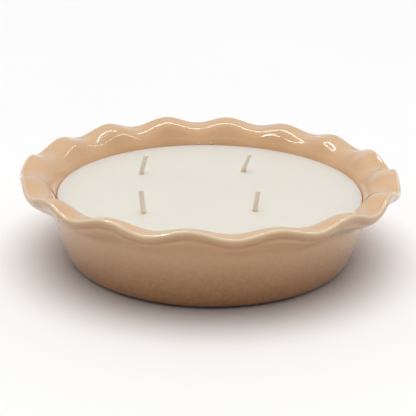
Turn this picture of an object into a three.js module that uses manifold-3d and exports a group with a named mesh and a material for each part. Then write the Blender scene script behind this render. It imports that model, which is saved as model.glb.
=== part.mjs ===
// A candle poured in a ceramic pie dish with a ruffled rim.
// Millimetres, +Z up. The origin is the centre of the dish's flat base, and the dish's axis is Z.
// An angle round the dish is counted from the front, -Y, towards +X.

import * as THREE from 'three';
import { mergeVertices } from 'three/addons/utils/BufferGeometryUtils.js';
import Module from 'manifold-3d';

// ---- Driving dimensions: the dish ----
const wallSlope = 0.321;          // how far the wall leans out for each millimetre of height
const baseRadius = 77.7;          // where the wall's outer line meets the table
const baseEdgeRadius = 6;         // rounding between the base and the wall
const floorThickness = 5;
const floorCornerRadius = 7;      // rounding inside, between the floor and the wall
const wallThickness = 6;          // measured level, not square to the wall
const outerFlareStart = 29.5;     // height where the outside leaves its straight taper

// ---- Driving dimensions: the ruffled rim ----
const rimRadius = 100;            // middle of the lip's bead
const rimHeight = 44.9;           // the same point's mean height
const lipRadius = 1.85;           // the bead is a round of twice this thickness
const waves = 16;
const waveRise = 2;               // half the height between a crest and a dip
const waveReach = 0.5;            // a dip stands this much further out than the mean
const waveStart = 6.5;            // degrees from the front to the first dip
const innerLipTilt = 21;          // degrees: how steeply the inside runs into the lip
const outerLipTilt = 64;          // degrees: the same for the outside
const innerFlarePull = [0.8, 0.145];
const outerFlarePull = [0.4, 0.44];

// The rim is shaped by hand: its waves aren't quite alike, and it leans a little to one side. Each entry
// is a size, the times that it repeats round the rim, and the degrees at which it peaks.
const phaseDrift = [[0.54, 1, -97], [0.29, 2, -17], [0.2, 3, 50]];     // radians of a wave
const riseDrift = [[0.1, 1, 123], [0.09, 2, 67], [0.18, 3, -36]];      // share of waveRise
const liftDrift = [[1.27, 1, -48], [0.5, 2, 1]];                       // millimetres up

// ---- Driving dimensions: the wax and the wicks ----
const waxLevel = 34.4;
const gap = 0.3;                  // clearance that separates touching pieces
const wickRadius = 1.45;
const wickBend = 0.12;            // softness of the bend at the wax, as a share of the free height
const wicks = [
  { name: 'wick_back_left', x: -39.5, y: 25.6, height: 10.9, leanX: 3.0, leanY: 0.8 },
  { name: 'wick_back_right', x: 18.8, y: 32.3, height: 10.4, leanX: 3.8, leanY: -0.6 },
  { name: 'wick_front_left', x: -33.5, y: -37.0, height: 12.0, leanX: -1.3, leanY: 0.6 },
  { name: 'wick_front_right', x: 23.4, y: -31.4, height: 10.8, leanX: 1.4, leanY: -0.5 },
];

// ---- Fineness ----
const columnsPerWave = 10;
const flareSteps = 7;
const beadSteps = 5;
const cornerSteps = 3;
const waxSegments = 80;
const wickSides = 10;
const wickSteps = 10;

// ---- Colours ----
const glaze = new THREE.MeshStandardMaterial({ color: 0xd9b692, roughness: 0.12, metalness: 0 });
const wax = new THREE.MeshStandardMaterial({ color: 0xebe7df, roughness: 0.55, metalness: 0 });
const cotton = new THREE.MeshStandardMaterial({ color: 0xe0cdaf, roughness: 0.8, metalness: 0 });

const wallAngle = Math.atan(wallSlope);
const columns = waves * columnsPerWave;

const outerWall = (z) => baseRadius + wallSlope * z;
const innerWall = (z) => outerWall(z) - wallThickness;

function drift(terms, angle) {
  return terms.reduce((sum, [size, times, peak]) => {
    return sum + size * Math.cos(times * (angle - THREE.MathUtils.degToRad(peak)));
  }, 0);
}

// +1 in the middle of a dip, where the rim lies lowest and furthest out, and -1 on a crest.
function wave(angle) {
  const turn = waves * (angle - THREE.MathUtils.degToRad(waveStart)) + drift(phaseDrift, angle);
  return (1 + drift(riseDrift, angle)) * Math.cos(turn);
}

function beadCentre(angle) {
  const dip = wave(angle);
  const radius = rimRadius + waveReach * dip;
  const height = rimHeight - waveRise * dip + drift(liftDrift, angle);
  return new THREE.Vector2(radius, height);
}

const direction = (angle) => new THREE.Vector2(Math.cos(angle), Math.sin(angle));

// A curve that leaves the tapered wall along its slope and runs into the lip at the given tilt.
function flare(wallPoint, lipPoint, lipTilt, pull) {
  const reach = wallPoint.distanceTo(lipPoint);
  const alongWall = direction(Math.PI / 2 - wallAngle).multiplyScalar(reach * pull[0]);
  const alongLip = direction(lipTilt).multiplyScalar(reach * pull[1]);
  return new THREE.CubicBezierCurve(
    wallPoint,
    wallPoint.clone().add(alongWall),
    lipPoint.clone().sub(alongLip),
    lipPoint,
  );
}

// The arc that rounds the corner between a level plane and the tapered wall, from the plane to the wall.
function cornerArc(cornerRadius, cornerHeight, rounding) {
  const setback = rounding * Math.tan((Math.PI / 2 - wallAngle) / 2);
  const centre = new THREE.Vector2(cornerRadius - setback, cornerHeight + rounding);
  return Array.from({ length: cornerSteps + 1 }, (_, i) => {
    const turn = THREE.MathUtils.lerp(-Math.PI / 2, -wallAngle, i / cornerSteps);
    return centre.clone().add(direction(turn).multiplyScalar(rounding));
  });
}

// The dish's section at an angle: across the floor, up the inside, over the lip, down the outside and
// in under the base. Its two ends are the rings next to the axis points.
function dishSection(angle) {
  const bead = beadCentre(angle);
  const innerTilt = THREE.MathUtils.degToRad(innerLipTilt);
  const outerTilt = THREE.MathUtils.degToRad(outerLipTilt);
  const innerTurn = innerTilt + Math.PI / 2;
  const outerTurn = outerTilt - Math.PI / 2;
  const onBead = (turn) => bead.clone().add(direction(turn).multiplyScalar(lipRadius));

  const innerStart = waxLevel - 2;
  const inside = flare(
    new THREE.Vector2(innerWall(innerStart), innerStart),
    onBead(innerTurn),
    innerTilt,
    innerFlarePull,
  );
  const outside = flare(
    new THREE.Vector2(outerWall(outerFlareStart), outerFlareStart),
    onBead(outerTurn),
    outerTilt,
    outerFlarePull,
  );
  const lip = [];
  for (let i = 1; i < beadSteps; i += 1) {
    lip.push(onBead(THREE.MathUtils.lerp(innerTurn, outerTurn, i / beadSteps)));
  }
  return [
    ...cornerArc(innerWall(floorThickness), floorThickness, floorCornerRadius),
    ...inside.getPoints(flareSteps),
    ...lip,
    ...outside.getPoints(flareSteps).reverse(),
    ...cornerArc(baseRadius, 0, baseEdgeRadius).reverse(),
  ];
}

// Joins a ring of sections, and a point on the axis at each of their ends, into one closed surface.
function revolve(sectionAt, firstHeight, lastHeight, count) {
  const sections = Array.from({ length: count }, (_, i) => sectionAt((2 * Math.PI * i) / count));
  const rings = sections[0].length;
  const positions = sections.flatMap((section, i) => {
    const angle = (2 * Math.PI * i) / count;
    return section.flatMap((p) => [p.x * Math.sin(angle), -p.x * Math.cos(angle), p.y]);
  });
  const firstPole = count * rings;
  const lastPole = firstPole + 1;
  positions.push(0, 0, firstHeight, 0, 0, lastHeight);
  const faces = [];
  for (let i = 0; i < count; i += 1) {
    const here = i * rings;
    const next = ((i + 1) % count) * rings;
    faces.push(firstPole, here, next);
    for (let j = 0; j < rings - 1; j += 1) {
      faces.push(here + j, here + j + 1, next + j + 1);
      faces.push(here + j, next + j + 1, next + j);
    }
    faces.push(lastPole, next + rings - 1, here + rings - 1);
  }
  const geometry = new THREE.BufferGeometry();
  geometry.setAttribute('position', new THREE.Float32BufferAttribute(positions, 3));
  geometry.setIndex(faces);
  geometry.computeVertexNormals();
  return geometry;
}

// Up through the wax in a straight line, then leaning over from the wax's surface to the tip.
class WickLine extends THREE.Curve {
  constructor(wick, bottom) {
    super();
    this.wick = wick;
    this.bottom = bottom;
  }

  getPoint(t, target = new THREE.Vector3()) {
    const { x, y, height, leanX, leanY } = this.wick;
    const z = THREE.MathUtils.lerp(this.bottom, waxLevel + height, t);
    const share = (z - waxLevel) / height;
    const lean = (share + Math.hypot(share, wickBend)) / 2;
    return target.set(x + leanX * lean, y + leanY * lean, z);
  }
}

function wickGeometry(wick) {
  const section = new THREE.Shape();
  section.absarc(0, 0, wickRadius, 0, 2 * Math.PI, false);
  return new THREE.ExtrudeGeometry(section, {
    extrudePath: new WickLine(wick, floorThickness + 2 * gap),
    steps: wickSteps,
    curveSegments: wickSides / 2,   // a round gets two sides for each
    bevelEnabled: false,
  });
}

// ---- Boolean cuts ----
const wasm = await Module();
wasm.setup();

function solid(geometry) {
  const bare = geometry.clone();
  bare.deleteAttribute('normal');
  bare.deleteAttribute('uv');
  const merged = mergeVertices(bare, 1e-3);
  return new wasm.Manifold(new wasm.Mesh({
    numProp: 3,
    vertProperties: Float32Array.from(merged.attributes.position.array),
    triVerts: Uint32Array.from(merged.index.array),
  }));
}

function geometryOf(manifold) {
  const mesh = manifold.getMesh();
  const geometry = new THREE.BufferGeometry();
  geometry.setAttribute('position', new THREE.BufferAttribute(mesh.vertProperties, 3));
  geometry.setIndex(new THREE.BufferAttribute(mesh.triVerts, 1));
  geometry.computeVertexNormals();
  return geometry;
}

// ---- Pieces ----
const candle = new THREE.Group();

function addPiece(name, geometry, material) {
  const mesh = new THREE.Mesh(geometry, material);
  mesh.name = name;
  candle.add(mesh);
}

addPiece('dish', revolve(dishSection, floorThickness, 0, columns), glaze);

// The wax fills the dish's round inside up to its level, a gap away from the wall, with a bore for each wick.
const waxBottom = floorThickness + gap;
const waxSection = [
  ...cornerArc(innerWall(waxBottom) - gap, waxBottom, floorCornerRadius),
  new THREE.Vector2(innerWall(waxLevel) - gap, waxLevel),
].reverse();
let waxBody = solid(revolve(() => waxSection, waxLevel, waxBottom, waxSegments));
for (const wick of wicks) {
  const bore = new THREE.CylinderGeometry(wickRadius + gap, wickRadius + gap, 2 * waxLevel, 2 * wickSides);
  bore.rotateX(Math.PI / 2);
  bore.translate(wick.x, wick.y, waxLevel);
  waxBody = waxBody.subtract(solid(bore));
}
addPiece('wax', geometryOf(waxBody), wax);

for (const wick of wicks) {
  addPiece(wick.name, wickGeometry(wick), cotton);
}

export default candle;
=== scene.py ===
"""A wax candle poured in a glazed pie dish with a ruffled rim: its dish, wax, wicks and studio.

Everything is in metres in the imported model's frame: +Z up, -Y towards the camera, the dish's axis on Z
and its base on the ground. An angle round the dish is counted from the front, -Y, towards +X.
"""

import math

import bpy
from mathutils import Matrix, Vector, noise


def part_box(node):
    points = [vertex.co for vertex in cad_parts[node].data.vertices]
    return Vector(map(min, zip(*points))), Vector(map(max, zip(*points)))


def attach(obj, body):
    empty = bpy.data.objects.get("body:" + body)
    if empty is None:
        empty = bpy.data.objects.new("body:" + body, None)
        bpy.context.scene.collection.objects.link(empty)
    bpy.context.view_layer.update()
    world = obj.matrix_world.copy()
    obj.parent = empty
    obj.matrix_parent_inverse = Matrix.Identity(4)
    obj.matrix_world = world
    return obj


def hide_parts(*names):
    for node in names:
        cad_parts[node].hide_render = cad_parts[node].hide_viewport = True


bl_info = {
    "name": "Candle in a Pie Dish",
    "version": (1, 0, 0),
    "blender": (4, 5, 0),
    "location": "3D View > Sidebar > Candle",
    "description": "Models a wax candle in a ruffled, glazed pie dish, with its wicks and a plain studio",
    "category": "Add Mesh",
}

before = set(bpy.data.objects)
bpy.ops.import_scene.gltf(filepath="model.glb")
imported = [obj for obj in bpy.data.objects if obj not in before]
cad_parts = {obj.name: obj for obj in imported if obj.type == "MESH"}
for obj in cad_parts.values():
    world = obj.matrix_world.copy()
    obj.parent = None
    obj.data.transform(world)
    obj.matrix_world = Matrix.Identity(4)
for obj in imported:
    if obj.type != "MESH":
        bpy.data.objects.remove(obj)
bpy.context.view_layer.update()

BODY = "root"
WICK_NODES = ("wick_back_left", "wick_back_right", "wick_front_left", "wick_front_right")
MM = 0.001
SAME_PLACE = 0.01 * MM                 # two places closer than this are one

# ---- The dish's form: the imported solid's, but for a slightly slimmer lip and straighter outer flare ----
WALL_SLOPE = 0.321                     # how far the wall leans out for each unit of height
BASE_RADIUS = 77.7 * MM                # where the wall's outer line meets the ground
BASE_EDGE_ROUNDING = 6 * MM
FLOOR_THICKNESS = 5 * MM
FLOOR_CORNER_ROUNDING = 7 * MM
WALL_THICKNESS = 6 * MM
OUTER_FLARE_START = 29.5 * MM          # height where the outside leaves its straight taper
INNER_FLARE_START = 32.4 * MM
RIM_RADIUS = 100 * MM                  # middle of the lip's bead
RIM_HEIGHT = 44.9 * MM
LIP_RADIUS = 1.84 * MM
INNER_LIP_TILT = math.radians(21)
OUTER_LIP_TILT = math.radians(64)
INNER_FLARE_PULL = (0.8, 0.145)
OUTER_FLARE_PULL = (0.35, 0.37)
WAVES = 16
WAVE_RISE = 2 * MM                     # half the height between a crest and a dip
WAVE_REACH = 0.5 * MM                  # a dip stands this much further out than the mean
WAVE_START = math.radians(6.5)         # from the front to the first dip
WALL_ANGLE = math.atan(WALL_SLOPE)

# The rim is shaped by hand. Each entry is a size, the times that it repeats round the rim, and the
# degrees at which it peaks.
PHASE_DRIFT = ((0.54, 1, -97), (0.29, 2, -17), (0.2, 3, 50))             # radians of a wave
RISE_DRIFT = ((0.1, 1, 123), (0.09, 2, 67), (0.18, 3, -36))              # share of WAVE_RISE
LIFT_DRIFT = ((1.27 * MM, 1, -48), (0.5 * MM, 2, 1))                     # height

# A thumb eased the slope of two waves at the right: down on one side of the slope, up on the other.
PRESSED_SLOPES = (math.radians(83), math.radians(105))
PRESS_WIDTH = math.radians(4)
PRESS_DEPTH = 0.385 * MM
PRESS_HEIGHTS = (38 * MM, 44 * MM)     # it starts at the first and is full at the second

# The moulded wall strays from a true round in patches, mostly inwards.
STRAY_SIZE = 35 * MM                   # width of a patch
STRAY_TALLNESS = 2                     # a patch's height for its width
STRAY_INWARDS = 0.5

# ---- How finely a section is divided ----
FLAT_STEPS = 4                         # across the underside and across the floor
BASE_EDGE_STEPS = 5
WALL_STEPS = 8
OUTER_FLARE_STEPS = 13
LIP_STEPS = 12
INNER_FLARE_STEPS = 14
INNER_WALL_STEPS = 6
FLOOR_CORNER_STEPS = 4
POLE_SHARE = 0.3                       # the ring next to the axis, as a share of its flat's radius
RING_SLACK = 0.5 * MM                  # an end ring's vertices differ in height by less than this

# ---- The glaze: shares from 0 to 1, and where they hold ----
BREAK_TURN = math.radians(58)          # the lip's shoulder, where the glaze breaks and a highlight is painted, above the level
BREAK_FADE_INWARDS = math.radians(26)
BREAK_FADE_OUTWARDS = math.radians(40)
LIP_THINNESS = 0.1                     # the least over the top of the lip
FLARE_THINNESS = 0.03                  # on the inside, next to the lip
FLARE_THIN_DEPTH = 8 * MM              # how far below the bead that fades out
RIDGE_REFLECTION = 0.5                   # thin glaze and a painted pale reflection, added on the ridges of the waves at both sides
RIDGE_WIDTH = 0.03                     # how much the wave changes from a crest's ridge to its flank
RIDGE_SIDES = (0.8, 0.95)              # sines of the angles where the ridges start and are full
GROOVE_SHADE = 0.87                     # painted shade, with pooled glaze, in the groove under the lip
GROOVE_DEPTH = 2 * MM                  # the groove's middle below the bead
GROOVE_WIDTH = 1.5 * MM
WALL_POOL_SHADE = 0.17                       # painted shade at the top of the wall and beside the wax
# Painted shade: the outside darkens from the top of the wall to the full at the foot.
FOOT_SHADE = 1.0
WALL_POOL_SHADE_DEPTHS = (4.6 * MM, 5.8 * MM)            # below the bead, from where it starts to full
WAX_POOL_SHADE_HEIGHTS = (38 * MM, 34.5 * MM)            # the same for the painted shade beside the wax
INSIDE_LIGHT_HEIGHTS = (44 * MM, 37 * MM)                # the same for the painted light on the inside
SMEAR_SHARE = 0.55                     # of the wax that stuck to the glaze above the wax's edge
SMEAR_HEIGHT = 34.9 * MM
SMEAR_WIDTH = 0.5 * MM

# ---- The wax ----
WAX_COLUMNS = 192
WAX_SIDE_STEPS = 5
WAX_TOP_STEPS = 40
WAX_TOP_CROWDING = 0.8                 # under 1, so that the top's rings crowd towards the wall
WAX_MIDDLE_RADIUS = 3 * MM             # of the top's ring next to the axis
WAX_OVERLAP = 0.05 * MM                # the edge reaches this far into the glaze, so that no gap shows
WAX_SURFACE_DEPTH = 0.1 * MM           # a vertex this close under the level, or higher, is the surface's
MENISCUS_REACH = 1.1 * MM              # how far from the wall the wax climbs and thins to a film
FILM_SHARE = 0.6                       # how much of the glaze shows through the film
WALL_SHADE_REACH = 6 * MM
DIMPLE_FALL = 2.5                      # how fast a dimple levels out
SWELL_SIZE = 28 * MM
SWELL_HEIGHT = 0.08 * MM

# Each drop of wax on the glaze: its angle in degrees, its height and its radius.
WAX_DROPS = (
    (185.0, 35.4 * MM, 0.75 * MM),
    (179.5, 35.5 * MM, 0.8 * MM),
    (169.5, 38.2 * MM, 0.4 * MM),
    (161.5, 35.1 * MM, 0.65 * MM),
)
DROP_DETAIL = 3
DROP_FLATNESS = 0.4                    # a drop's thickness for its width
DROP_BELLY = 0.3                       # the lower side starts this share of the radius under the middle
DROP_HANG = (0.85, 0.85, 1.1)          # the lower side is this much narrower and longer

# ---- The wicks ----
WICK_BEND = 0.12                       # softness of the bend at the wax, as a share of the free height
WICK_SIDES = 40
WICK_SUNK_STEPS = 6
WICK_FREE_STEPS = 72
WICK_FREE_START = 1 * MM               # the fine rings start this far under the wax's surface
WICK_TIP_INSET = 0.35 * MM
WICK_TIP_SLACK = 2 * MM                # the tip's face leans, within this height under its top
BRAID_STRANDS = 3                      # each way round
BRAID_PITCH = 3.6 * MM
FOOT_REACH = 2.4 * MM                  # how far above the wax a wick's foot is warm
CAP_SHARE = 0.8                        # of the wax that closed over a wick's tip, darkened as painted shade
CAP_DEPTHS = (0.6 * MM, 0.1 * MM)      # below the tip, from where it starts to full

# ---- The studio ----
FLOOR_SIZE = 30
FLOOR_DROP = 0.05 * MM                 # the floor lies this far under the base, so that they don't touch
STRIP_HEIGHT = 1.0
GLOW_HEIGHT = 1.5
TENT_OPEN_SHARE = 0.15                 # the open front's brightness, as a share of the walls'
TENT_EDGES = (-0.7, 0.2)               # towards the back, from the open front's edge to the full walls
CAMERA_AIM = 25 * MM                   # height of the point that the camera looks at
SENSOR_WIDTH = 36                      # millimetres
CLIP_START = 10 * MM
PHOTO_SIZE = 416                       # pixels
PRINCIPAL_POINT = (209.475, 205.645)   # of the photograph, in its own pixels


def lerp(start, end, share):
    return start + (end - start) * share


def ramp(value, low, high):
    """0 at low and beyond it, 1 at high and beyond it, and an even curve between them."""
    share = min(1.0, max(0.0, (value - low) / (high - low)))
    return share * share * (3 - 2 * share)


def bell(value, middle, width):
    """1 in the middle, falling off evenly to both sides."""
    return math.exp(-((value - middle) / width) ** 2)


# ---- The dish's section ----
RIM_PARTS = ("lip", "inner_flare", "outer_flare")
INNER_PARTS = ("inner_flare", "inner_wall")
FLAT_PARTS = ("under", "floor")


def outer_wall(height):
    return BASE_RADIUS + WALL_SLOPE * height


def inner_wall(height):
    return outer_wall(height) - WALL_THICKNESS


def drift(terms, angle):
    return sum(size * math.cos(times * (angle - math.radians(peak))) for size, times, peak in terms)


def wave(angle):
    """+1 in the middle of a dip, where the rim lies lowest and furthest out, and -1 on a crest."""
    turn = WAVES * (angle - WAVE_START) + drift(PHASE_DRIFT, angle)
    return (1 + drift(RISE_DRIFT, angle)) * math.cos(turn)


def bead_centre(angle):
    dip = wave(angle)
    height = RIM_HEIGHT - WAVE_RISE * dip + drift(LIFT_DRIFT, angle)
    return Vector((RIM_RADIUS + WAVE_REACH * dip, height))


def direction(angle):
    return Vector((math.cos(angle), math.sin(angle)))


def flare(wall_point, lip_point, lip_tilt, pull, steps):
    """A curve that leaves the tapered wall along its slope and runs into the lip at its tilt."""
    reach = (lip_point - wall_point).length
    near_wall = wall_point + direction(math.pi / 2 - WALL_ANGLE) * reach * pull[0]
    near_lip = lip_point - direction(lip_tilt) * reach * pull[1]
    points = []
    for i in range(steps + 1):
        t = i / steps
        s = 1 - t
        points.append(
            s**3 * wall_point + 3 * s * s * t * near_wall + 3 * s * t * t * near_lip + t**3 * lip_point
        )
    return points


def corner_arc(radius, height, rounding, steps):
    """The arc that rounds the corner between a level plane and the tapered wall, from plane to wall."""
    setback = rounding * math.tan((math.pi / 2 - WALL_ANGLE) / 2)
    centre = Vector((radius - setback, height + rounding))
    turns = [lerp(-math.pi / 2, -WALL_ANGLE, i / steps) for i in range(steps + 1)]
    return [centre + direction(turn) * rounding for turn in turns]


def straight(start, end, steps):
    """The points that divide a line into steps, without its ends."""
    return [start.lerp(end, i / steps) for i in range(1, steps)]


def dish_section(bead):
    """The dish's section for a place of the lip's bead, as points of radius and height.

    It runs from under the base, up the outside, over the lip, down the inside and in across the floor.
    The second list names the part that each point belongs to.
    """
    def on_bead(turn):
        return bead + direction(turn) * LIP_RADIUS

    inner_turn = INNER_LIP_TILT + math.pi / 2
    outer_turn = OUTER_LIP_TILT - math.pi / 2
    outer_start = Vector((outer_wall(OUTER_FLARE_START), OUTER_FLARE_START))
    inner_start = Vector((inner_wall(INNER_FLARE_START), INNER_FLARE_START))
    base = corner_arc(BASE_RADIUS, 0, BASE_EDGE_ROUNDING, BASE_EDGE_STEPS)
    outside = flare(outer_start, on_bead(outer_turn), OUTER_LIP_TILT, OUTER_FLARE_PULL, OUTER_FLARE_STEPS)
    lip = [on_bead(lerp(outer_turn, inner_turn, i / LIP_STEPS)) for i in range(1, LIP_STEPS)]
    inside = flare(inner_start, on_bead(inner_turn), INNER_LIP_TILT, INNER_FLARE_PULL, INNER_FLARE_STEPS)
    floor_edge = inner_wall(FLOOR_THICKNESS)
    floor = corner_arc(floor_edge, FLOOR_THICKNESS, FLOOR_CORNER_ROUNDING, FLOOR_CORNER_STEPS)
    under_centre = Vector((POLE_SHARE * BASE_RADIUS, 0))
    floor_centre = Vector((POLE_SHARE * BASE_RADIUS, FLOOR_THICKNESS))
    parts = (
        ("under", [under_centre, *straight(under_centre, base[0], FLAT_STEPS)]),
        ("base", base),
        ("wall", straight(base[-1], outside[0], WALL_STEPS)),
        ("outer_flare", outside),
        ("lip", lip),
        ("inner_flare", inside[::-1]),
        ("inner_wall", straight(inside[0], floor[-1], INNER_WALL_STEPS)),
        ("floor_corner", floor[::-1]),
        ("floor", [*straight(floor[0], floor_centre, FLAT_STEPS), floor_centre]),
    )
    points = [p for _, stretch in parts for p in stretch]
    names = [name for name, stretch in parts for _ in stretch]
    return points, names


def inside_radius(angle, height):
    """How far from the axis the dish's inside is, at an angle and a height."""
    points, names = dish_section(bead_centre(angle))
    inside = [p for p, name in zip(points, names) if name in INNER_PARTS]
    for upper, lower in zip(inside, inside[1:]):
        if lower.y <= height <= upper.y:
            return lerp(lower.x, upper.x, (height - lower.y) / (upper.y - lower.y))
    raise RuntimeError("No inside at that height")


def around(reach, angle, height):
    """The place at a distance from the axis, an angle round the dish and a height."""
    return Vector((reach * math.sin(angle), -reach * math.cos(angle), height))


# ---- Shared ways of working ----
def deselect_all():
    if bpy.context.mode != "OBJECT":
        bpy.ops.object.mode_set(mode="OBJECT")
    bpy.ops.object.select_all(action="DESELECT")


def name_piece(piece, name):
    piece.name = name
    piece.data.name = name


def select_vertices(piece, wanted):
    """Select the vertices that pass a test on their place, from edit mode and back to it."""
    bpy.ops.mesh.select_all(action="DESELECT")
    bpy.ops.object.mode_set(mode="OBJECT")
    for vertex in piece.data.vertices:
        vertex.select = wanted(vertex.co)
    bpy.ops.object.mode_set(mode="EDIT")


def is_within_ring(co, end):
    """Whether a place is on or inside the ring that a section's end makes."""
    return math.hypot(co.x, co.y) < end.x + SAME_PLACE and abs(co.z - end.y) < RING_SLACK


def close_poles(piece, *ends):
    """Close the hole inside each end ring of a turned section with a fan of faces to its middle."""
    bpy.ops.object.mode_set(mode="EDIT")
    for end in ends:
        select_vertices(piece, lambda co: is_within_ring(co, end))
        bpy.ops.mesh.extrude_edges_move()
        bpy.ops.mesh.merge(type="CENTER")
    bpy.ops.mesh.select_all(action="SELECT")
    bpy.ops.mesh.normals_make_consistent(inside=False)
    bpy.ops.object.mode_set(mode="OBJECT")
    bpy.ops.object.shade_smooth()


def set_attribute(piece, name, values):
    """Keep one number for each vertex under a name that a material reads."""
    piece.data.attributes.new(name, "FLOAT", "POINT").data.foreach_set("value", values)


def turn_section(name, section, columns):
    """Model a round piece from a circle, extruded ring by ring along a section, with its poles open."""
    deselect_all()
    first = section[0]
    bpy.ops.mesh.primitive_circle_add(vertices=columns, radius=first.x, location=(0, 0, 0))
    piece = bpy.context.active_object
    name_piece(piece, name)
    bpy.ops.object.mode_set(mode="EDIT")
    bpy.ops.mesh.select_mode(type="VERT")
    bpy.ops.mesh.select_all(action="SELECT")
    bpy.ops.transform.translate(value=(0, 0, first.y))
    for before, after in zip(section, section[1:]):
        bpy.ops.mesh.extrude_edges_move(TRANSFORM_OT_translate={"value": (0, 0, after.y - before.y)})
        grow = after.x / before.x
        bpy.ops.transform.resize(value=(grow, grow, 1), center_override=(0, 0, 0))
    bpy.ops.object.mode_set(mode="OBJECT")
    return piece


def subdivide(piece, levels):
    deselect_all()
    piece.select_set(True)
    bpy.context.view_layer.objects.active = piece
    bpy.ops.object.modifier_add(type="SUBSURF")
    modifier = piece.modifiers[-1]
    modifier.levels = levels
    modifier.render_levels = levels
    bpy.ops.object.modifier_apply(modifier=modifier.name)
    bpy.ops.object.shade_smooth()


def hand_over(piece, material, slot, *nodes):
    """Give a finished piece its material, attach it to the body and hide the nodes that it stands for, if
    any.
    """
    piece.data.materials.clear()
    piece.data.materials.append(material)
    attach(piece, BODY)
    if nodes:
        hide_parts(*nodes)


# ---- Materials ----
class Nodes:
    """A short way to lay out the nodes of one material."""

    def __init__(self, name):
        self.material = bpy.data.materials.new(name)
        self.material.use_nodes = True
        self.tree = self.material.node_tree
        self.place = self.add("ShaderNodeTexCoord").outputs["Object"]

    def add(self, kind, inputs=None, **settings):
        node = self.tree.nodes.new(kind)
        for key, value in settings.items():
            setattr(node, key, value)
        for key, value in (inputs or {}).items():
            self.set(node.inputs[key], value)
        return node

    def set(self, socket, value):
        if isinstance(value, bpy.types.NodeSocket):
            self.tree.links.new(value, socket)
        else:
            socket.default_value = value

    def noise(self, size, detail=3.0):
        """Noise whose patches are about as wide as size."""
        inputs = {"Vector": self.place, "Scale": 1 / size, "Detail": detail}
        return self.add("ShaderNodeTexNoise", inputs).outputs["Fac"]

    def spots(self, spacing):
        """The distance to the nearest of points scattered about a spacing apart, as a share of it."""
        inputs = {"Vector": self.place, "Scale": 1 / spacing}
        return self.add("ShaderNodeTexVoronoi", inputs).outputs["Distance"]

    def attribute(self, name):
        return self.add("ShaderNodeAttribute", attribute_name=name).outputs["Fac"]

    def between(self, value, low, high, to_low=0.0, to_high=1.0):
        """A value spread so that low comes out as to_low and high as to_high, on an even curve."""
        inputs = {"Value": value, "From Min": low, "From Max": high, "To Min": to_low, "To Max": to_high}
        return self.add("ShaderNodeMapRange", inputs, interpolation_type="SMOOTHSTEP").outputs["Result"]

    def times(self, value, share):
        return self.add("ShaderNodeMath", {0: value, 1: share}, operation="MULTIPLY").outputs["Value"]

    def mix(self, share, first, second):
        node = self.add("ShaderNodeMix", data_type="RGBA")
        self.set(node.inputs["Factor"], share)
        self.set(node.inputs["A"], self.colour(first))
        self.set(node.inputs["B"], self.colour(second))
        return node.outputs["Result"]

    @staticmethod
    def colour(value):
        if isinstance(value, bpy.types.NodeSocket):
            return value
        return (*value, 1)

    def bump(self, height, depth, over=None):
        """A relief of a depth, laid over another one if there is one."""
        inputs = {"Height": height, "Distance": depth, "Strength": 1.0}
        if over:
            inputs["Normal"] = over
        return self.add("ShaderNodeBump", inputs).outputs["Normal"]

    def finish(self, varied, constants):
        """Link what varies over the surface, set what is the same all over it, and give the material."""
        shader = self.tree.nodes["Principled BSDF"]
        for name, value in varied.items():
            self.tree.links.new(value, shader.inputs[name])
        for name, value in constants.items():
            shader.inputs[name].default_value = value
        return self.material


def glaze_material(colours):
    """Glossy peach glaze: warmer patches, fine mottling, specks, painted light inside, and painted shade and
    highlights where it pools and thins.
    """
    nodes = Nodes("peach_glaze")
    patches = nodes.between(nodes.noise(45 * MM, detail=2.0), low=0.35, high=0.65)
    mottling = nodes.between(nodes.noise(2.2 * MM, detail=4.0), low=0.3, high=0.7)
    breaking = nodes.between(nodes.noise(6 * MM), low=0.2, high=0.6, to_low=0.75)
    specks = nodes.between(nodes.spots(5.5 * MM), low=0.035, high=0.06, to_low=0.35, to_high=0.0)
    body = nodes.mix(patches, colours.glaze, colours.glaze_warm)
    # painted light: a lighter, warmer copy of the glaze on the inside near the wax
    body = nodes.mix(nodes.attribute("glaze_inside_lit"), body, colours.glaze_inside_lit)
    # painted shade, with pooled glaze, under the lip, beside the wax and towards the foot
    body = nodes.mix(nodes.attribute("glaze_pool_shade"), body, colours.glaze_deep_shade)
    body = nodes.mix(nodes.attribute("wax_smear"), body, colours.wax_smear)
    body = nodes.mix(nodes.times(mottling, share=0.12), body, colours.glaze_thin_and_highlight)
    # thin glaze with a painted highlight on the lip, and a painted pale reflection on the side ridges
    body = nodes.mix(nodes.times(nodes.attribute("glaze_thin_and_highlight"), breaking), body, colours.glaze_thin_and_highlight)
    body = nodes.mix(specks, body, colours.glaze_speck)
    ripple = nodes.bump(nodes.noise(14 * MM, detail=1.0), depth=0.12 * MM)
    peel = nodes.bump(nodes.noise(1.6 * MM, detail=1.0), depth=0.006 * MM, over=ripple)
    return nodes.finish(
        varied={"Base Color": body, "Normal": peel, "Coat Normal": peel},
        constants={
            "Roughness": 0.3,
            "Specular IOR Level": 0.15,
            "Coat Weight": 1.0,
            "Coat Roughness": 0.035,
            "Coat IOR": 1.42,
        },
    )


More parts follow.
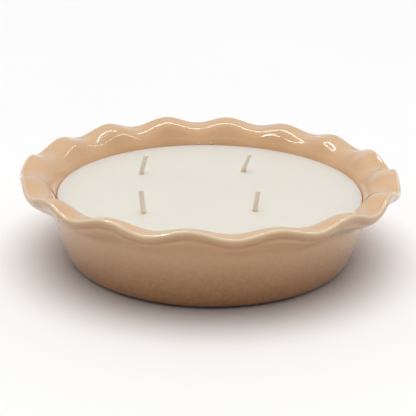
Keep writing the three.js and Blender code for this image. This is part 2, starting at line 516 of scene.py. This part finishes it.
def wax_material(colours):
    """Satin wax that light sinks into: cool clouds and pits, shaded near the wall and a film at its edge."""
    nodes = Nodes("candle_wax")
    clouds = nodes.between(nodes.noise(30 * MM), low=0.3, high=0.7)
    pits = nodes.between(nodes.spots(6 * MM), low=0.02, high=0.05, to_low=0.3, to_high=0.0)
    body = nodes.mix(nodes.times(clouds, share=0.5), colours.wax, colours.wax_cool)
    body = nodes.mix(pits, body, colours.wax_cool)
    body = nodes.mix(nodes.attribute("wall_shade"), body, colours.wax_edge)
    body = nodes.mix(nodes.attribute("wax_film"), body, colours.wax_film)
    grain = nodes.bump(nodes.noise(1.2 * MM, detail=4.0), depth=0.02 * MM)
    swell = nodes.bump(nodes.noise(22 * MM, detail=1.0), depth=0.2 * MM, over=grain)
    satin = nodes.between(clouds, low=0.0, high=1.0, to_low=0.42, to_high=0.52)
    return nodes.finish(
        varied={"Base Color": body, "Normal": swell, "Roughness": satin},
        constants={
            "Specular IOR Level": 0.4,
            "Subsurface Weight": 0.6,
            "Subsurface Radius": (1.0, 0.75, 0.55),
            "Subsurface Scale": 3 * MM,
        },
    )


def cotton_material(colours):
    """Waxed cotton: pale fibres over a braid with painted shade in its hollows, a warm foot and a cap of wax
    darkened as painted shade.
    """
    nodes = Nodes("waxed_cotton")
    fibres = nodes.between(nodes.noise(0.35 * MM), low=0.3, high=0.7)
    body = nodes.mix(nodes.times(fibres, share=0.4), colours.cotton, colours.cotton_pale)
    # painted shade in the braid's hollows
    body = nodes.mix(nodes.times(nodes.attribute("strand_hollow_shade"), share=0.35), body, colours.cotton_hollow_shade)
    body = nodes.mix(nodes.attribute("wick_base"), body, colours.cotton_warm)
    # a cap of wax at the tip, darkened as painted shade
    body = nodes.mix(nodes.attribute("wax_cap_shade"), body, colours.cotton_cap_shade)
    fuzz = nodes.bump(nodes.noise(0.2 * MM, detail=2.0), depth=0.03 * MM)
    return nodes.finish(
        varied={"Base Color": body, "Normal": fuzz},
        constants={
            "Roughness": 0.5,
            "Subsurface Weight": 1.0,
            "Subsurface Radius": (1.0, 0.9, 0.75),
            "Subsurface Scale": 1.2 * MM,
        },
    )


def floor_material():
    nodes = Nodes("pale_floor")
    tone = nodes.between(nodes.noise(0.4, detail=2.0), low=0.3, high=0.7)
    return nodes.finish(
        varied={"Base Color": nodes.mix(tone, (0.89, 0.89, 0.89), (0.9, 0.9, 0.9))},
        constants={"Roughness": 0.6, "Specular IOR Level": 0.1},
    )


# ---- Settings ----
def colour_property(name, description, default):
    return bpy.props.FloatVectorProperty(
        name=name,
        description=description,
        default=default,
        subtype="COLOR",
        size=3,
        min=0,
        max=1,
    )


def length_property(name, description, default, **limits):
    return bpy.props.FloatProperty(
        name=name,
        description=description,
        default=default,
        unit="LENGTH",
        **limits,
    )


def angle_property(name, description, degrees):
    return bpy.props.FloatProperty(
        name=name,
        description=description,
        default=math.radians(degrees),
        subtype="ANGLE",
    )


class CandleColours(bpy.types.PropertyGroup):
    """The colours of the glaze, the wax and the cotton."""

    glaze: colour_property("Glaze", "The glaze at its usual thickness", (0.675, 0.42, 0.228))
    glaze_warm: colour_property("Glaze, warm", "Broad warmer patches of the glaze", (0.66, 0.4, 0.213))
    # Painted light: a lighter, warmer copy of the glaze on the inside near the wax.
    glaze_inside_lit: colour_property("Glaze, inside", "The glaze above the wax", (0.78, 0.475, 0.25))
    # Painted shade, with pooled glaze: the dark under the lip, beside the wax and towards the foot.
    glaze_deep_shade: colour_property("Glaze, deep", "The glaze where it pools", (0.38, 0.16, 0.058))
    # Thin glaze on the lip, also used for a painted highlight there and a painted reflection on the side
    # ridges.
    glaze_thin_and_highlight: colour_property("Glaze, thin", "The glaze where it thins on the lip", (0.74, 0.585, 0.395))
    glaze_speck: colour_property("Glaze speck", "Small specks in the glaze", (0.38, 0.24, 0.14))
    wax: colour_property("Wax", "The candle's wax", (0.72, 0.688, 0.612))
    wax_cool: colour_property("Wax, cool", "Cooler clouds and pits in the wax", (0.70, 0.677, 0.615))
    wax_edge: colour_property("Wax, edge", "The wax in the wall's warm shade", (0.63, 0.595, 0.575))
    wax_film: colour_property("Wax, film", "The glaze seen through the wax's thin edge", (0.60, 0.40, 0.26))
    wax_smear: colour_property("Wax, smear", "The wax that stuck above its edge", (0.88, 0.74, 0.6))
    cotton: colour_property("Cotton", "The wicks' waxed cotton", (1.0, 0.9, 0.8))
    cotton_pale: colour_property("Cotton, pale", "Fibres that stand out of the braid", (1.0, 0.94, 0.88))
    # Painted shade in the braid's hollows.
    cotton_hollow_shade: colour_property("Cotton, deep", "The hollows of the braid", (0.98, 0.86, 0.74))
    cotton_warm: colour_property("Cotton, warm", "A wick's foot, where it drew up wax", (1.0, 0.74, 0.52))
    # The wax cap on a wick's tip, darkened as painted shade.
    cotton_cap_shade: colour_property("Cotton, cap", "The wax that closed over a wick's tip", (0.6, 0.57, 0.51))


class DishSettings(bpy.types.PropertyGroup):
    """How finely and how evenly the dish is modelled."""

    columns_per_wave: bpy.props.IntProperty(
        name="Columns per Wave",
        description="Columns of faces in each wave of the rim",
        default=20,
        min=8,
        max=32,
    )
    unevenness: length_property(
        "Unevenness", "How far the moulded wall strays from a true round", 0.12 * MM, min=0, max=1 * MM,
    )


class WaxSettings(bpy.types.PropertyGroup):
    """The wax's surface."""

    level: length_property("Level", "Height of the wax's surface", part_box("wax")[1].z)
    meniscus: length_property("Meniscus", "How far the wax climbs the glaze", 0.8 * MM)
    dimple_depth: length_property("Dimple Depth", "How far the wax sinks round a wick", 0.1 * MM)
    dimple_radius: length_property("Dimple Radius", "How wide that sinking reaches", 6 * MM)


class WickSettings(bpy.types.PropertyGroup):
    """The wicks' braid."""

    radius: length_property("Radius", "Half the thickness of a wick", 1.45 * MM)
    braid_depth: length_property("Braid Depth", "How deep the hollows of the braid are", 0.08 * MM)


class StudioSettings(bpy.types.PropertyGroup):
    """The camera and the white tent."""

    elevation: angle_property("Elevation", "Angle of the camera above the level", 20.39)
    distance: length_property("Distance", "From the camera to the middle of the candle", 0.5389)
    lens: bpy.props.FloatProperty(
        name="Lens",
        description="Focal length in millimetres on a 36 mm sensor",
        default=84.86,
        subtype="DISTANCE_CAMERA",
    )
    roll: angle_property("Roll", "Turn of the camera about its own axis", 0.78)
    tent: bpy.props.FloatProperty(
        name="Tent",
        description="Brightness of the white walls round the candle",
        default=0.66,
        min=0,
    )


# ---- Operators ----
class CANDLE_OT_dish(bpy.types.Operator):
    """Model the glazed dish: a turned section whose rim is ruffled wave by wave"""

    bl_idname = "candle.dish"
    bl_label = "Model the Dish"

    def execute(self, context):
        settings = context.scene.candle_dish
        plain, parts = dish_section(Vector((RIM_RADIUS, RIM_HEIGHT)))
        piece = turn_section("glazed_dish", plain, WAVES * settings.columns_per_wave)
        self.ruffle(piece, plain, parts, settings.unevenness)
        subdivide(piece, levels=1)
        close_poles(piece, plain[0], plain[-1])
        hand_over(piece, glaze_material(context.scene.candle_colours), "glaze", "dish")
        return {"FINISHED"}

    def ruffle(self, piece, plain, parts, unevenness):
        """Move each vertex from the plain section to the section that the ruffled rim has at its angle."""
        columns = len(piece.data.vertices) // len(plain)
        finish_marks = []
        sections = {}
        for vertex in piece.data.vertices:
            ring = vertex.index // columns
            part = parts[ring]
            place = Vector((math.hypot(vertex.co.x, vertex.co.y), vertex.co.z))
            if (place - plain[ring]).length > SAME_PLACE:
                raise RuntimeError("The dish's rings aren't in the order of its section")
            angle = math.atan2(vertex.co.x, -vertex.co.y)
            key = round(angle, 5)      # the same for all vertices of a column
            if key not in sections:
                bead = bead_centre(angle)
                sections[key] = (bead, dish_section(bead)[0])
            bead, section = sections[key]
            point = section[ring]
            finish_marks.append(self.marks(part, point, bead, angle))
            reach = point.x
            if part not in FLAT_PARTS:
                patch = Vector((vertex.co.x, vertex.co.y, point.y / STRAY_TALLNESS)) / STRAY_SIZE
                reach += unevenness * (noise.noise(patch) - STRAY_INWARDS)
            vertex.co = around(reach, angle, point.y - self.press(part, point, angle))
        for name in finish_marks[0]:
            set_attribute(piece, name, [marks[name] for marks in finish_marks])
        piece.data.update()

    def marks(self, part, point, bead, angle):
        """What the glaze's material reads at a vertex."""
        return {
            "glaze_thin_and_highlight": self.thinness_and_highlight(part, point, bead, angle),
            "glaze_pool_shade": self.pooling_and_shade(part, point, bead),
            "glaze_inside_lit": self.inside_light(part, point),
            "wax_smear": self.smear(part, point),
        }

    @staticmethod
    def press(part, point, angle):
        """How far down the thumb's two marks move the rim."""
        if part not in RIM_PARTS:
            return 0.0
        drop = 0.0
        for slope in PRESSED_SLOPES:
            along = (angle - slope) / PRESS_WIDTH
            drop += PRESS_DEPTH * along * math.exp(-along * along)
        return drop * ramp(point.y, *PRESS_HEIGHTS)

    @staticmethod
    def thinness_and_highlight(part, point, bead, angle):
        """1 along the lip's outer shoulder, where the glaze breaks and a highlight is painted, fading inwards
        and down the outside. It also runs thin on the ridges of the waves at both sides, with a painted pale
        reflection."""
        if part == "inner_flare":
            # the ridges at the sides get thin glaze and a painted pale reflection
            ridge = math.exp(-max(0.0, 1 + wave(angle)) / RIDGE_WIDTH)
            beside = ramp(abs(math.sin(angle)), *RIDGE_SIDES)
            thin = FLARE_THINNESS + RIDGE_REFLECTION * ridge * beside
            return thin * ramp(point.y, bead.y - FLARE_THIN_DEPTH, bead.y)
        if part != "lip":
            return 0.0
        turn = math.atan2(point.y - bead.y, point.x - bead.x)
        if turn > BREAK_TURN:
            return max(LIP_THINNESS, bell(turn, BREAK_TURN, BREAK_FADE_INWARDS))
        return bell(turn, BREAK_TURN, BREAK_FADE_OUTWARDS)

    @staticmethod
    def pooling_and_shade(part, point, bead):
        """Towards 1 where shade is painted, as well as where the glaze runs together: under the lip, beside
        the wax and at the foot.
        """
        below = bead.y - point.y
        if part in ("lip", "outer_flare"):
            # painted shade in the groove under the lip, and on the wall below it
            groove = GROOVE_SHADE * bell(below, GROOVE_DEPTH, GROOVE_WIDTH)
            return groove + WALL_POOL_SHADE * ramp(below, *WALL_POOL_SHADE_DEPTHS)
        if part in ("wall", "base"):
            # painted shade, darker towards the foot
            return lerp(FOOT_SHADE, WALL_POOL_SHADE, point.y / OUTER_FLARE_START)
        if part in INNER_PARTS:
            # painted shade beside the wax
            return WALL_POOL_SHADE * ramp(point.y, *WAX_POOL_SHADE_HEIGHTS)
        return 0.0

    @staticmethod
    def smear(part, point):
        """How much wax stuck to the glaze just above the wax's edge."""
        if part in INNER_PARTS:
            return SMEAR_SHARE * bell(point.y, SMEAR_HEIGHT, SMEAR_WIDTH)
        return 0.0

    @staticmethod
    def inside_light(part, point):
        """Painted light: 1 on the inside next to the wax, fading out where the rim flares."""
        if part in INNER_PARTS:
            return ramp(point.y, *INSIDE_LIGHT_HEIGHTS)
        return 0.0


class CANDLE_OT_wax(bpy.types.Operator):
    """Model the wax: it fills the dish, climbs the glaze a little and sinks round each wick"""

    bl_idname = "candle.wax"
    bl_label = "Model the Wax"

    def execute(self, context):
        settings = context.scene.candle_wax
        section, edge_radius = self.section(settings)
        piece = turn_section("candle_wax", section, WAX_COLUMNS)
        self.sink(piece, settings)
        self.shade_edge(piece, edge_radius)
        subdivide(piece, levels=1)
        close_poles(piece, section[0], section[-1])
        hand_over(piece, wax_material(context.scene.candle_colours), "wax", "wax")
        return {"FINISHED"}

    @staticmethod
    def section(settings):
        """The wax's section, from under its middle, up beside the wall and in over its surface."""
        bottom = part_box("wax")[0].z
        climb = settings.level + settings.meniscus
        corner = corner_arc(inner_wall(bottom), bottom, FLOOR_CORNER_ROUNDING, FLOOR_CORNER_STEPS)
        under = Vector((POLE_SHARE * corner[0].x, bottom))
        edge = Vector((inner_wall(climb) + WAX_OVERLAP, climb))
        middle = Vector((WAX_MIDDLE_RADIUS, settings.level))
        shares = [(i / WAX_TOP_STEPS) ** WAX_TOP_CROWDING for i in range(WAX_TOP_STEPS + 1)]
        top = [middle.lerp(edge, share) for share in reversed(shares)]
        for point in top[1:]:
            rise = settings.meniscus * math.exp(-(edge.x - point.x) / MENISCUS_REACH)
            point.y = settings.level + rise
        return [under, *corner, *straight(corner[-1], edge, WAX_SIDE_STEPS), *top], edge.x

    @staticmethod
    def sink(piece, settings):
        """Lower the surface round each wick, and give it a faint swell."""
        feet = [wick_foot(name) for name in WICK_NODES]
        for vertex in piece.data.vertices:
            if vertex.co.z < settings.level - WAX_SURFACE_DEPTH:
                continue
            for foot in feet:
                away = math.hypot(vertex.co.x - foot.x, vertex.co.y - foot.y) / settings.dimple_radius
                vertex.co.z -= settings.dimple_depth * math.exp(-away * away * DIMPLE_FALL)
            patch = Vector((vertex.co.x, vertex.co.y, 0)) / SWELL_SIZE
            vertex.co.z += SWELL_HEIGHT * noise.noise(patch)
        piece.data.update()

    @staticmethod
    def shade_edge(piece, edge_radius):
        """Mark the wax near the wall, and the film that it thins to against it."""
        inwards = [max(0.0, edge_radius - math.hypot(v.co.x, v.co.y)) for v in piece.data.vertices]
        set_attribute(piece, "wall_shade", [math.exp(-away / WALL_SHADE_REACH) for away in inwards])
        set_attribute(piece, "wax_film", [FILM_SHARE * bell(away, 0, MENISCUS_REACH) for away in inwards])


class CANDLE_OT_drops(bpy.types.Operator):
    """Model the small drops of wax that the pouring left on the glaze"""

    bl_idname = "candle.drops"
    bl_label = "Model the Wax Drops"

    def execute(self, context):
        deselect_all()
        drops = [self.drop(math.radians(angle), height, radius) for angle, height, radius in WAX_DROPS]
        for drop in drops:
            drop.select_set(True)
        piece = drops[0]
        bpy.context.view_layer.objects.active = piece
        bpy.ops.object.join()
        name_piece(piece, "wax_drops")
        bpy.ops.object.transform_apply(location=True, rotation=True, scale=True)
        bpy.ops.object.shade_smooth()
        hand_over(piece, bpy.data.materials["candle_wax"], "wax")
        return {"FINISHED"}

    @staticmethod
    def drop(angle, height, radius):
        """A ball pressed flat against the wall, with a hanging lower side."""
        bpy.ops.mesh.primitive_ico_sphere_add(subdivisions=DROP_DETAIL, radius=radius, location=(0, 0, 0))
        piece = bpy.context.active_object
        bpy.ops.object.mode_set(mode="EDIT")
        bpy.ops.mesh.select_all(action="SELECT")
        bpy.ops.transform.resize(value=(1.0, DROP_FLATNESS, 1.0))
        bpy.ops.transform.rotate(value=-angle, orient_axis="Z", center_override=(0, 0, 0))
        select_vertices(piece, lambda co: co.z < -DROP_BELLY * radius)
        bpy.ops.transform.resize(value=DROP_HANG, center_override=(0, 0, 0))
        bpy.ops.mesh.select_all(action="SELECT")
        bpy.ops.transform.translate(value=around(inside_radius(angle, height), angle, height))
        bpy.ops.object.mode_set(mode="OBJECT")
        piece.select_set(False)
        return piece


def wick_foot(name):
    """Where a wick stands in the wax: the middle of its node's lowest face."""
    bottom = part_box(name)[0].z
    low = [v.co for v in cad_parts[name].data.vertices if v.co.z < bottom + SAME_PLACE]
    return sum(low, Vector()) / len(low)


def wick_tip(name):
    """The middle of a wick's tip, from its node's highest vertices."""
    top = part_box(name)[1].z
    high = [v.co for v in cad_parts[name].data.vertices if v.co.z > top - WICK_TIP_SLACK]
    return sum(high, Vector()) / len(high)


class CANDLE_OT_wicks(bpy.types.Operator):
    """Model the four wicks: braided cotton, straight in the wax and leaning above it"""

    bl_idname = "candle.wicks"
    bl_label = "Model the Wicks"

    def execute(self, context):
        settings = context.scene.candle_wicks
        level = context.scene.candle_wax.level
        material = cotton_material(context.scene.candle_colours)
        for name in WICK_NODES:
            piece = self.tube("braided_" + name, name, settings, level)
            hand_over(piece, material, "cotton", name)
        return {"FINISHED"}

    def tube(self, piece_name, node, settings, level):
        """A round section, extruded ring by ring along the wick's line, with an inset tip."""
        tip = wick_tip(node)
        centres = self.centres(wick_foot(node), tip, level)
        deselect_all()
        bpy.ops.mesh.primitive_circle_add(
            vertices=WICK_SIDES, radius=settings.radius, location=(0, 0, 0), fill_type="NGON",
        )
        piece = bpy.context.active_object
        name_piece(piece, piece_name)
        bpy.ops.object.mode_set(mode="EDIT")
        bpy.ops.mesh.select_all(action="SELECT")
        bpy.ops.transform.translate(value=centres[0])
        for before, after in zip(centres, centres[1:]):
            bpy.ops.mesh.extrude_region_move(TRANSFORM_OT_translate={"value": after - before})
        bpy.ops.mesh.inset(thickness=WICK_TIP_INSET)
        bpy.ops.mesh.select_all(action="SELECT")
        bpy.ops.mesh.normals_make_consistent(inside=False)
        bpy.ops.object.mode_set(mode="OBJECT")
        self.braid(piece, centres, settings, level, tip)
        subdivide(piece, levels=1)
        return piece

    @staticmethod
    def centres(foot, tip, level):
        """The middles of a wick's rings: a few in the wax, and fine ones from just under its surface."""
        start = level - WICK_FREE_START
        heights = [lerp(foot.z, start, i / WICK_SUNK_STEPS) for i in range(WICK_SUNK_STEPS)]
        heights += [lerp(start, tip.z, i / WICK_FREE_STEPS) for i in range(WICK_FREE_STEPS + 1)]
        centres = []
        for height in heights:
            share = (height - level) / (tip.z - level)
            lean = (share + math.hypot(share, WICK_BEND)) / 2
            centres.append(Vector((lerp(foot.x, tip.x, lean), lerp(foot.y, tip.y, lean), height)))
        return centres

    @staticmethod
    def braid(piece, centres, settings, level, tip):
        """Press the hollows between the strands into the wick; mark them and the tip's wax cap for painted
        shade, and the foot.
        """
        hollow = []
        base = []
        cap = []
        cap_start, cap_full = (tip.z - depth for depth in CAP_DEPTHS)
        for vertex in piece.data.vertices:
            centre = min(centres, key=lambda c: abs(c.z - vertex.co.z))
            out = Vector((vertex.co.x - centre.x, vertex.co.y - centre.y, 0))
            turn = BRAID_STRANDS / 2 * math.atan2(out.y, out.x)
            rise = 2 * math.pi * vertex.co.z / BRAID_PITCH
            strand = abs(math.cos(turn + rise)) * abs(math.cos(turn - rise))
            depth = 1 - math.sqrt(strand)
            vertex.co -= out.normalized() * settings.braid_depth * depth
            # the hollows get painted shade
            hollow.append(depth)
            base.append(math.exp(-max(vertex.co.z - level, 0) / FOOT_REACH))
            # the wax cap at the tip, darkened as painted shade
            cap.append(CAP_SHARE * ramp(vertex.co.z, cap_start, cap_full))
        set_attribute(piece, "strand_hollow_shade", hollow)
        set_attribute(piece, "wick_base", base)
        set_attribute(piece, "wax_cap_shade", cap)
        piece.data.update()


class CANDLE_OT_studio(bpy.types.Operator):
    """Set up the pale floor, the soft lights and the camera"""

    bl_idname = "candle.studio"
    bl_label = "Set Up the Studio"

    def execute(self, context):
        settings = context.scene.candle_studio
        context.scene.view_settings.view_transform = "Standard"
        self.floor()
        self.tent(context.scene, settings.tent)
        self.glow("overhead_glow", tilt=-6, spread=56, brightness=2.05)
        self.strip("back_strip", (-0.46, 0.53), (0.41, 0.53), thickness=0.045, brightness=32)
        self.strip("left_strip", (-0.545, 0.53), (-0.545, -0.15), thickness=0.045, brightness=24)
        self.strip("right_strip", (0.76, 1.2), (0.76, -0.1), thickness=0.045, brightness=9)
        self.strip("front_strip", (-0.9, -1.0), (0.9, -1.0), thickness=0.05, brightness=2)
        self.camera(context.scene, settings)
        return {"FINISHED"}

    @staticmethod
    def floor():
        deselect_all()
        bpy.ops.mesh.primitive_plane_add(size=FLOOR_SIZE, location=(0, 0, -FLOOR_DROP))
        floor = bpy.context.active_object
        floor.name = "studio_floor"
        floor.data.materials.append(floor_material())

    @staticmethod
    def tent(scene, brightness):
        """White walls at the back and sides, as of a photographer's tent that is open at the front."""
        world = bpy.data.worlds.new("white_tent")
        world.use_nodes = True
        nodes = world.node_tree.nodes
        links = world.node_tree.links
        place = nodes.new("ShaderNodeTexCoord")
        split = nodes.new("ShaderNodeSeparateXYZ")
        walls = nodes.new("ShaderNodeMapRange")
        walls.interpolation_type = "SMOOTHSTEP"
        walls.inputs["From Min"].default_value = TENT_EDGES[0]
        walls.inputs["From Max"].default_value = TENT_EDGES[1]
        walls.inputs["To Min"].default_value = TENT_OPEN_SHARE * brightness
        walls.inputs["To Max"].default_value = brightness
        links.new(place.outputs["Generated"], split.inputs["Vector"])
        links.new(split.outputs["Y"], walls.inputs["Value"])
        links.new(walls.outputs["Result"], nodes["Background"].inputs["Strength"])
        nodes["Background"].inputs["Color"].default_value = (1, 1, 1, 1)
        scene.world = world

    @staticmethod
    def glow(name, tilt, spread, brightness):
        """A broad soft light from above, as from a large diffuser, with its tilt and spread in degrees."""
        deselect_all()
        turn = (math.radians(-tilt), 0, 0)
        bpy.ops.object.light_add(type="SUN", location=(0, 0, GLOW_HEIGHT), rotation=turn)
        light = bpy.context.active_object
        light.name = name
        light.data.angle = math.radians(spread)
        light.data.energy = brightness
        light.visible_glossy = False

    @staticmethod
    def strip(name, start, end, thickness, brightness):
        """A long thin light between two points overhead, which faces the candle. Its brightness is that
        of its face."""
        start = Vector((*start, STRIP_HEIGHT))
        end = Vector((*end, STRIP_HEIGHT))
        middle = (start + end) / 2
        along = (end - start).normalized()
        towards = middle.normalized()
        across = towards.cross(along).normalized()
        facing = Matrix((along, across, along.cross(across))).transposed()
        deselect_all()
        bpy.ops.object.light_add(type="AREA", location=middle, rotation=facing.to_euler())
        light = bpy.context.active_object
        light.name = name
        light.data.shape = "RECTANGLE"
        light.data.size = (end - start).length
        light.data.size_y = thickness
        light.data.energy = brightness * light.data.size * thickness * math.pi
        light.visible_diffuse = False

    @staticmethod
    def camera(scene, settings):
        rise = settings.elevation
        towards = Vector((0, -math.cos(rise), math.sin(rise)))
        place = Vector((0, 0, CAMERA_AIM)) + towards * settings.distance
        facing = Matrix.Rotation(math.pi / 2 - rise, 3, "X") @ Matrix.Rotation(settings.roll, 3, "Z")
        deselect_all()
        bpy.ops.object.camera_add(location=place, rotation=facing.to_euler())
        camera = bpy.context.active_object
        camera.name = "photo_camera"
        camera.data.sensor_width = SENSOR_WIDTH
        camera.data.lens = settings.lens
        camera.data.shift_x = (PHOTO_SIZE / 2 - PRINCIPAL_POINT[0]) / PHOTO_SIZE
        camera.data.shift_y = (PRINCIPAL_POINT[1] - PHOTO_SIZE / 2) / PHOTO_SIZE
        camera.data.clip_start = CLIP_START
        scene.camera = camera


class CANDLE_PT_panel(bpy.types.Panel):
    """Lists the pieces of the candle and their settings"""

    bl_idname = "CANDLE_PT_panel"
    bl_label = "Candle in a Pie Dish"
    bl_space_type = "VIEW_3D"
    bl_region_type = "UI"
    bl_category = "Candle"

    def draw(self, context):
        scene = context.scene
        sections = (
            (CANDLE_OT_dish, scene.candle_dish),
            (CANDLE_OT_wax, scene.candle_wax),
            (CANDLE_OT_drops, None),
            (CANDLE_OT_wicks, scene.candle_wicks),
            (CANDLE_OT_studio, scene.candle_studio),
            (None, scene.candle_colours),
        )
        for operator, settings in sections:
            box = self.layout.box()
            if operator:
                box.operator(operator.bl_idname)
            if settings:
                for name in settings.bl_rna.properties.keys():
                    if name not in ("rna_type", "name"):
                        box.prop(settings, name)


SETTINGS = {
    "candle_colours": CandleColours,
    "candle_dish": DishSettings,
    "candle_wax": WaxSettings,
    "candle_wicks": WickSettings,
    "candle_studio": StudioSettings,
}
OPERATORS = (CANDLE_OT_dish, CANDLE_OT_wax, CANDLE_OT_drops, CANDLE_OT_wicks, CANDLE_OT_studio)


def register():
    for name, group in SETTINGS.items():
        bpy.utils.register_class(group)
        setattr(bpy.types.Scene, name, bpy.props.PointerProperty(type=group))
    for operator in OPERATORS:
        bpy.utils.register_class(operator)
    bpy.utils.register_class(CANDLE_PT_panel)


def unregister():
    bpy.utils.unregister_class(CANDLE_PT_panel)
    for operator in reversed(OPERATORS):
        bpy.utils.unregister_class(operator)
    for name, group in SETTINGS.items():
        delattr(bpy.types.Scene, name)
        bpy.utils.unregister_class(group)


def main():
    register()
    bpy.ops.candle.dish()
    bpy.ops.candle.wax()
    bpy.ops.candle.drops()
    bpy.ops.candle.wicks()
    bpy.ops.candle.studio()


if __name__ == "__main__":
    main()
